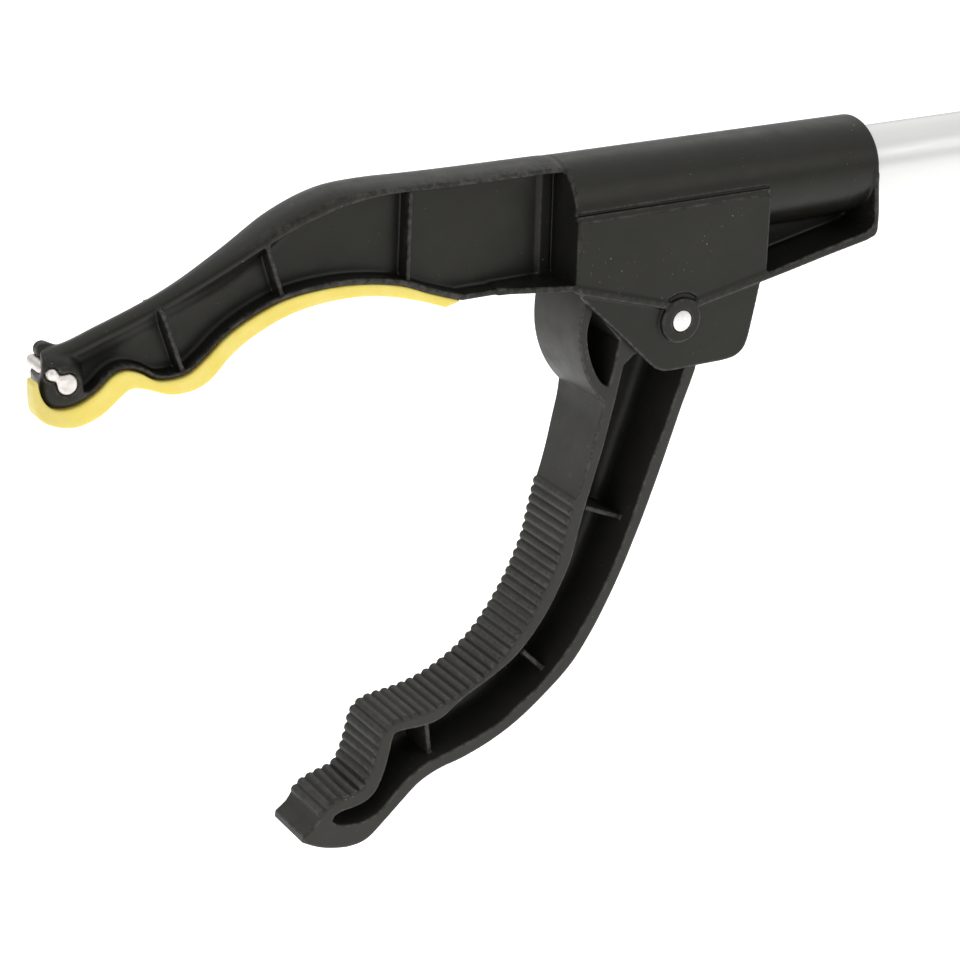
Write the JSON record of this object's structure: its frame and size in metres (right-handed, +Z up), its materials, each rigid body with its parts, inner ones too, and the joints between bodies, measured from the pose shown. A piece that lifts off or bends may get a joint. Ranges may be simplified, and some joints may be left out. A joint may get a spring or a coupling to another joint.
{
  "type": "reacher grabber",
  "caption": "Long pick-up reacher: a fixed curved jaw and a ribbed pivoting jaw on a round tube, closed by a squeeze trigger in a pistol-grip handle through a sprung pull rod.",
  "frame": {"origin": "centre of the hand grip, on the middle plane", "axes": "+X along the tube from the jaws to the butt of the handle, +Z up (the trigger and the moving jaw hang down), the jaws work in the XZ plane"},
  "size_m": [0.8172, 0.0288, 0.1602],
  "materials": {
    "black_plastic": "moulded polypropylene, satin with a fine grain",
    "dark_grey_plastic": "moulded polypropylene, satin",
    "yellow_rubber": "soft moulded elastomer, pale yellow, satin",
    "tube_aluminium": "clear anodised, satin",
    "pin_steel": "ground steel pin",
    "screw_steel": "zinc plated",
    "spring_steel": "oiled spring steel",
    "magnet": "nickel plated magnet",
    "bush_brass": "plain bronze bush",
    "guide_plastic": "natural acetal"
  },
  "bodies": {
    "handle_and_fixed_jaw": {"fixed_jaw": "black_plastic", "upper_grip_pad": "yellow_rubber", "tip_magnet": "magnet", "tip_wire_pin": "pin_steel", "jaw_pivot_pin": "pin_steel", "pivot_push_nut": "spring_steel", "shaft_tube": "tube_aluminium", "front_rod_guide": "guide_plastic", "rear_rod_guide": "guide_plastic", "return_spring": "spring_steel", "handle_left_shell": "black_plastic", "handle_right_shell": "black_plastic", "shell_screws": "screw_steel", "tube_lock_pin": "pin_steel", "palm_pad": "yellow_rubber", "trigger_pin": "pin_steel"},
    "lower_jaw": {"moving_jaw": "dark_grey_plastic", "jaw_bushes": "bush_brass"},
    "rod": {"pull_rod": "pin_steel", "front_clevis": "guide_plastic", "front_clevis_pin": "pin_steel", "rear_clevis": "guide_plastic", "rear_clevis_pin": "pin_steel", "clevis_clips": "spring_steel", "spring_collar": "spring_steel"},
    "trigger": {"trigger_lever": "black_plastic", "trigger_pad": "yellow_rubber", "trigger_bush": "guide_plastic"}
  },
  "joints": [
    {"name": "trigger_hinge", "type": "hinge", "parent": "handle_and_fixed_jaw", "child": "trigger", "pos_m": [-0.037, 0, -0.035], "axis": [0, 1, 0], "range_deg": [0, 15.9], "stiffness_Nm_per_rad": 3.66, "springref_deg": -10.71},
    {"name": "rod_slide", "type": "slide", "parent": "handle_and_fixed_jaw", "child": "rod", "axis": [1, 0, 0], "range_m": [0, 0.02396], "deforming": ["return_spring"]},
    {"name": "jaw_hinge", "type": "hinge", "parent": "handle_and_fixed_jaw", "child": "lower_jaw", "pos_m": [-0.628, 0, 0.0232], "axis": [0, 1, 0], "range_deg": [0, 48.05]}
  ],
  "couplings": [
    {"joint": "rod_slide", "follows": "trigger_hinge", "m_per_rad": 0.08556},
    {"joint": "jaw_hinge", "follows": "trigger_hinge", "ratio": 3.0034}
  ]
}
